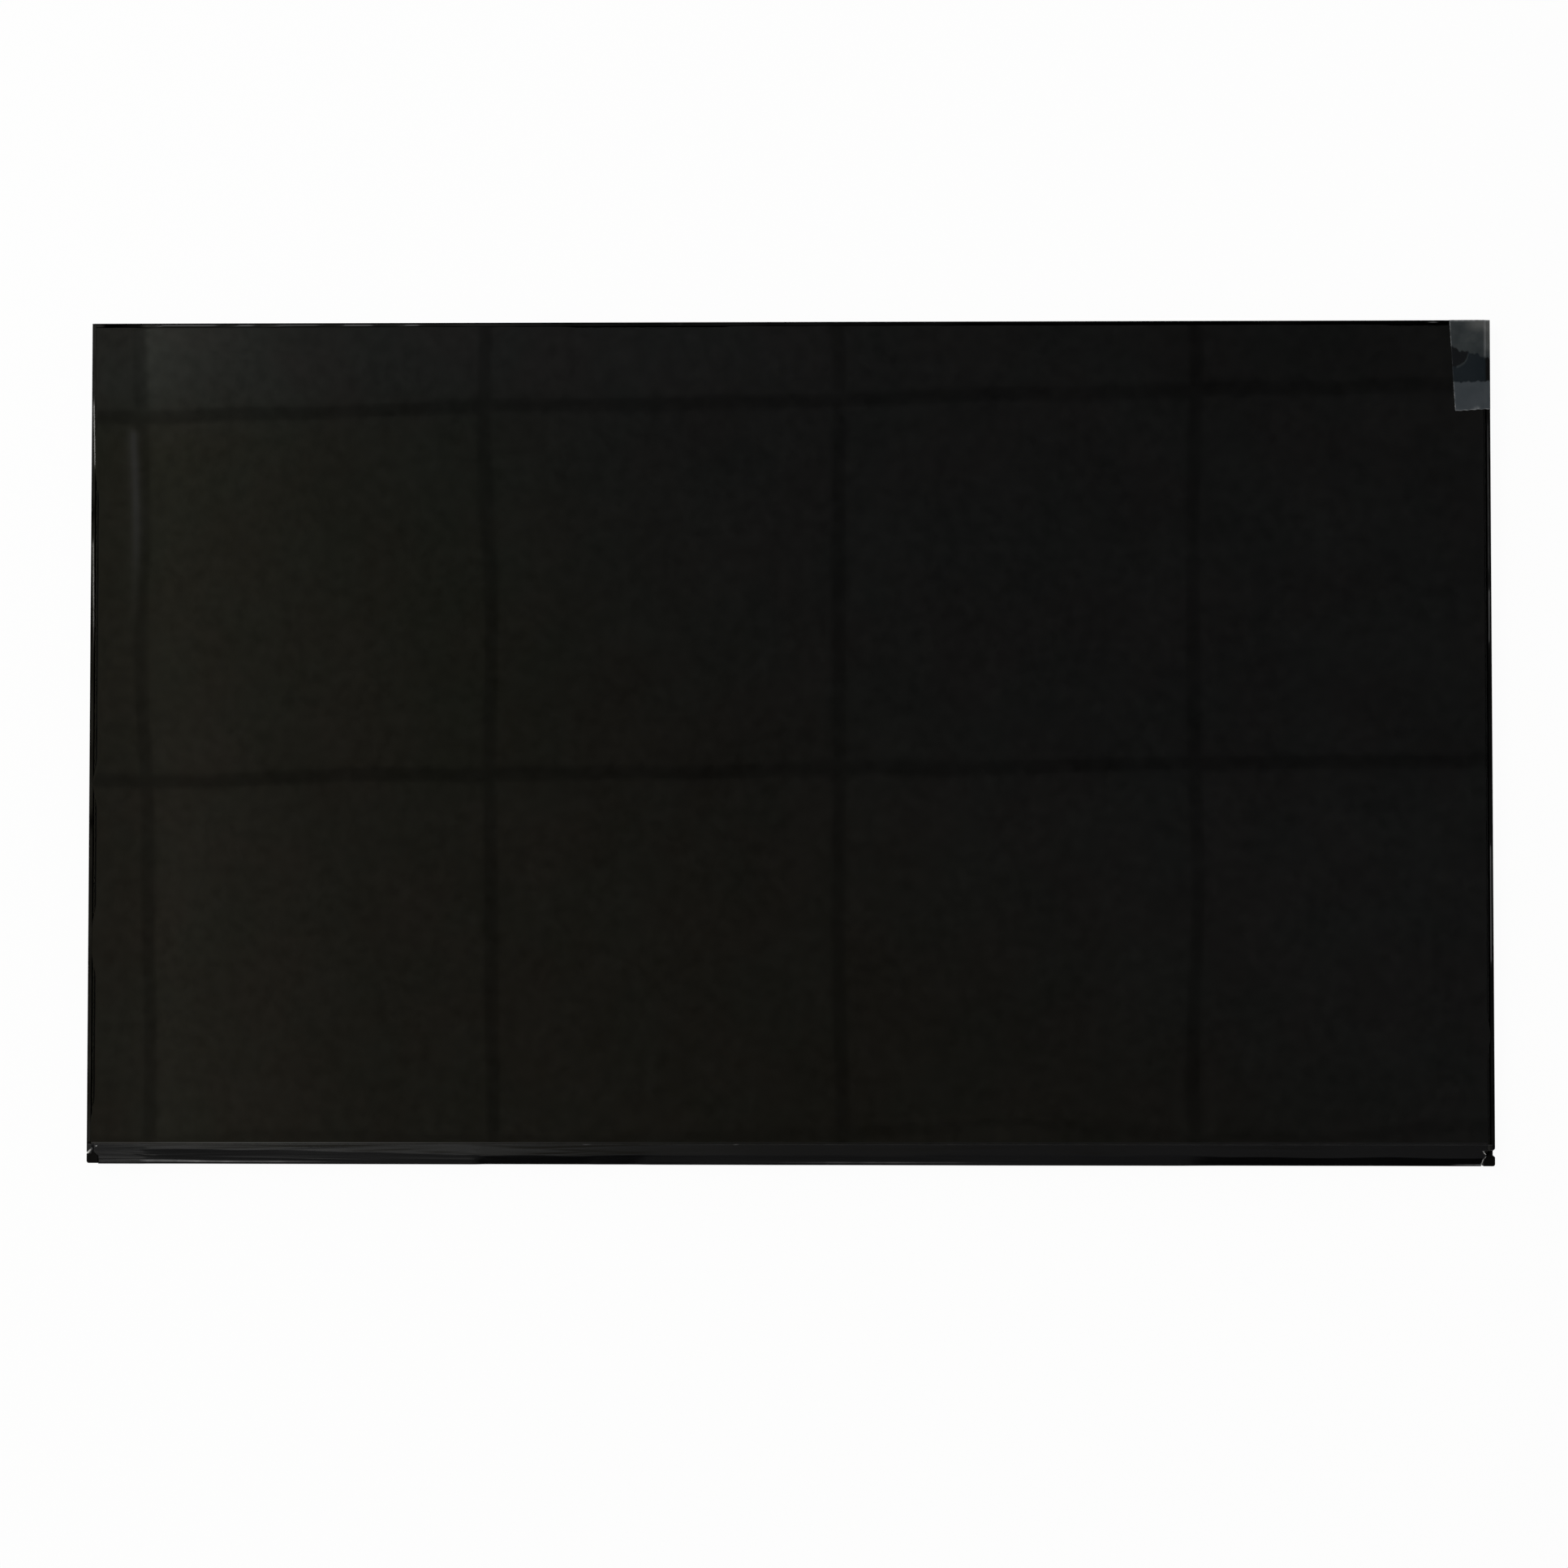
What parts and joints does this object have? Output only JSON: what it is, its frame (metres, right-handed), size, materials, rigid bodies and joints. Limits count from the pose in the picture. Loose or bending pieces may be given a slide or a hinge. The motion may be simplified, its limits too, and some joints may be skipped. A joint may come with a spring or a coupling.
{
  "type": "lcd screen panel",
  "caption": "Thin flat rectangular liquid-crystal display module lying face up, with glossy protective film, a clear pull tab and black tape along its lower edge.",
  "frame": {"origin": "middle of the outline, on the rear plane that the panel lies on", "axes": "+X along the long side to the right of the picture, +Y up the picture, +Z out of the display face"},
  "size_m": [0.2999, 0.1802, 0.0033],
  "materials": {
    "rear_cover": "satin rolled sheet",
    "mould_frame": "fine matt moulding",
    "reflector_sheet": "matt white film",
    "light_guide": "clear polished plate",
    "diffuser_sheet": "hazy film",
    "lower_prism_sheet": "ridged clear film",
    "upper_prism_sheet": "ridged clear film",
    "led_flex": "white-coated printed film",
    "leds": "white case with yellow fill",
    "light_bar_tape": "adhesive film",
    "rim_tape": "black adhesive film",
    "rear_polariser": "dark film",
    "array_glass": "polished pane",
    "filter_glass": "polished pane",
    "front_polariser": "black film",
    "protective_film": "clear glossy film over black",
    "pull_tab": "clear tape over black",
    "driver_chips": "bare polished chip",
    "board_flexes": "amber printed film",
    "edge_tape": "thin black tape",
    "source_board": "green solder mask",
    "board_adhesive": "adhesive pad",
    "timing_chip": "matt moulded case",
    "power_chips": "matt moulded case",
    "board_capacitors": "tan fired body",
    "board_inductors": "grey pressed body",
    "connector_housing": "black moulding",
    "connector_shell": "tinned sheet",
    "connector_contacts": "gold-plated blades",
    "board_cover_tape": "black insulating film"
  },
  "bodies": {
    "root": {"rear_cover": "rear_cover", "mould_frame": "mould_frame", "reflector_sheet": "reflector_sheet", "light_guide": "light_guide", "diffuser_sheet": "diffuser_sheet", "lower_prism_sheet": "lower_prism_sheet", "upper_prism_sheet": "upper_prism_sheet", "led_flex": "led_flex", "leds": "leds", "light_bar_tape": "light_bar_tape", "rim_tape": "rim_tape", "rear_polariser": "rear_polariser", "array_glass": "array_glass", "filter_glass": "filter_glass", "front_polariser": "front_polariser", "protective_film": "protective_film", "pull_tab": "pull_tab", "driver_chips": "driver_chips", "board_flexes": "board_flexes", "edge_tape": "edge_tape", "source_board": "source_board", "board_adhesive": "board_adhesive", "timing_chip": "timing_chip", "power_chips": "power_chips", "board_capacitors": "board_capacitors", "board_inductors": "board_inductors", "connector_housing": "connector_housing", "connector_shell": "connector_shell", "connector_contacts": "connector_contacts", "board_cover_tape": "board_cover_tape"}
  },
  "joints": []
}
